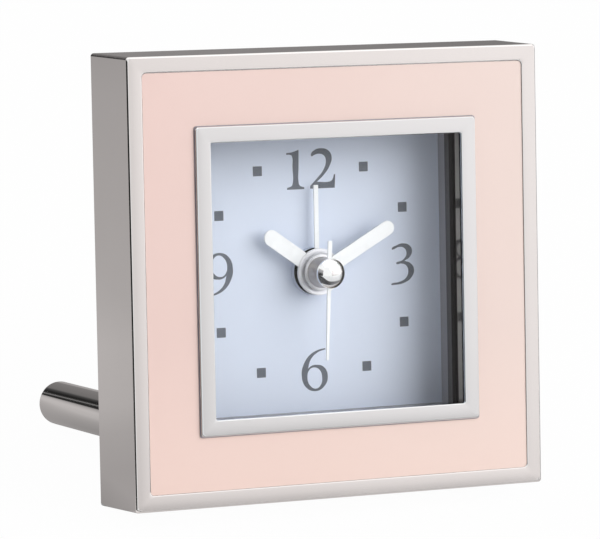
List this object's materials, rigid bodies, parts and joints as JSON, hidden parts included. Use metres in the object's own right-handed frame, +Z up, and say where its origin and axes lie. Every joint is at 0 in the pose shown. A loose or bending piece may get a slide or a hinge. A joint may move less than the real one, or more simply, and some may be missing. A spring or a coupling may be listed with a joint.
{
  "type": "pendulette clock",
  "caption": "Square table alarm clock with a pink enamelled silver frame, deep dial and four hands, leaning back on one round rear leg.",
  "frame": {"origin": "on the table, at the middle of the footprint's box, with the clock leaning on its leg", "axes": "+X to the right seen from the dial, +Y away from the viewer toward the leg, +Z up"},
  "size_m": [0.0858, 0.0636, 0.0869],
  "materials": {
    "plated_silver": "polished",
    "pink_enamel": "gloss",
    "clear_glass": "polished",
    "black_plastic": "satin",
    "dial_card": "matte",
    "hand_white": "satin",
    "gear_plastic": "satin",
    "screw_steel": "satin",
    "plate_steel": "matte",
    "brass": "satin",
    "motor_iron": "satin",
    "copper_wire": "satin",
    "board_green": "satin",
    "chip_black": "matte",
    "cell_jacket": "satin",
    "magnet": "matte"
  },
  "bodies": {
    "case": {"frame": "plated_silver", "enamel_panel": "pink_enamel", "bezel": "plated_silver", "lens": "clear_glass", "dial": "dial_card", "module_case": "black_plastic", "rear_cover": "black_plastic", "train_plate": "gear_plastic", "back_plate": "plate_steel", "back_plate_screws": "screw_steel", "module_screws": "screw_steel", "leg": "plated_silver", "leg_stud": "screw_steel", "battery": "cell_jacket", "battery_contact_plus": "brass", "battery_contact_minus": "brass", "circuit_board": "board_green", "quartz_crystal": "screw_steel", "chip": "chip_black", "alarm_contact": "brass", "buzzer": "chip_black", "stator": "motor_iron", "coil_core": "motor_iron", "coil_bobbin": "gear_plastic", "coil_winding": "copper_wire"},
    "second": {"second_wheel": "gear_plastic", "second_hand": "hand_white", "hand_cap": "plated_silver"},
    "intermediate": {"intermediate_wheel": "gear_plastic"},
    "rotor": {"rotor": "magnet"},
    "third": {"third_wheel": "gear_plastic"},
    "centre": {"centre_wheel": "gear_plastic"},
    "minute": {"cannon_pinion": "brass", "minute_hand": "hand_white", "minute_sleeve": "plated_silver"},
    "time_setter": {"minute_wheel": "gear_plastic", "time_knob": "black_plastic"},
    "hour": {"hour_wheel": "gear_plastic", "hour_hand": "hand_white"},
    "alarm": {"alarm_wheel": "gear_plastic", "alarm_hand": "hand_white"},
    "alarm_setter": {"alarm_pinion": "gear_plastic", "alarm_knob": "black_plastic"},
    "switch": {"alarm_switch": "black_plastic"},
    "door": {"battery_door": "black_plastic"}
  },
  "joints": [
    {"name": "second_hand_spin", "type": "hinge", "parent": "case", "child": "second", "pos_m": [0, -0.00525, 0.04171], "axis": [0, 0.9712, -0.2381], "continuous": true},
    {"name": "intermediate_wheel_spin", "type": "hinge", "parent": "case", "child": "intermediate", "pos_m": [-0.00624, -0.00439, 0.04521], "axis": [0, 0.9712, -0.2381], "continuous": true},
    {"name": "rotor_spin", "type": "hinge", "parent": "case", "child": "rotor", "pos_m": [-0.00904, -0.00324, 0.04992], "axis": [0, 0.9712, -0.2381], "continuous": true},
    {"name": "third_wheel_spin", "type": "hinge", "parent": "case", "child": "third", "pos_m": [0.0034, -0.00385, 0.04743], "axis": [0, 0.9712, -0.2381], "continuous": true},
    {"name": "centre_wheel_spin", "type": "hinge", "parent": "case", "child": "centre", "pos_m": [0, -0.00525, 0.04171], "axis": [0, 0.9712, -0.2381], "continuous": true},
    {"name": "minute_hand_spin", "type": "hinge", "parent": "case", "child": "minute", "pos_m": [0, -0.00525, 0.04171], "axis": [0, 0.9712, -0.2381], "continuous": true},
    {"name": "time_knob_spin", "type": "hinge", "parent": "case", "child": "time_setter", "pos_m": [0.00709, -0.00555, 0.0405], "axis": [0, 0.9712, -0.2381], "continuous": true},
    {"name": "hour_hand_spin", "type": "hinge", "parent": "case", "child": "hour", "pos_m": [0, -0.00525, 0.04171], "axis": [0, 0.9712, -0.2381], "continuous": true},
    {"name": "alarm_hand_spin", "type": "hinge", "parent": "case", "child": "alarm", "pos_m": [0, -0.00525, 0.04171], "axis": [0, 0.9712, -0.2381], "continuous": true},
    {"name": "alarm_knob_spin", "type": "hinge", "parent": "case", "child": "alarm_setter", "pos_m": [-0.0043, -0.00671, 0.03574], "axis": [0, 0.9712, -0.2381], "continuous": true},
    {"name": "alarm_switch_slide", "type": "slide", "parent": "case", "child": "switch", "axis": [1, 0, 0], "range_m": [0, 0.003]},
    {"name": "battery_door_slide", "type": "slide", "parent": "case", "child": "door", "axis": [1, 0, 0], "range_m": [0, 0.05]}
  ],
  "couplings": [
    {"joint": "intermediate_wheel_spin", "follows": "second_hand_spin", "ratio": -5},
    {"joint": "rotor_spin", "follows": "second_hand_spin", "ratio": 30},
    {"joint": "third_wheel_spin", "follows": "second_hand_spin", "ratio": -0.13333},
    {"joint": "centre_wheel_spin", "follows": "second_hand_spin", "ratio": 0.016667},
    {"joint": "time_knob_spin", "follows": "minute_hand_spin", "ratio": -0.33333},
    {"joint": "hour_hand_spin", "follows": "minute_hand_spin", "ratio": 0.083333},
    {"joint": "alarm_knob_spin", "follows": "alarm_hand_spin", "ratio": -2}
  ]
}
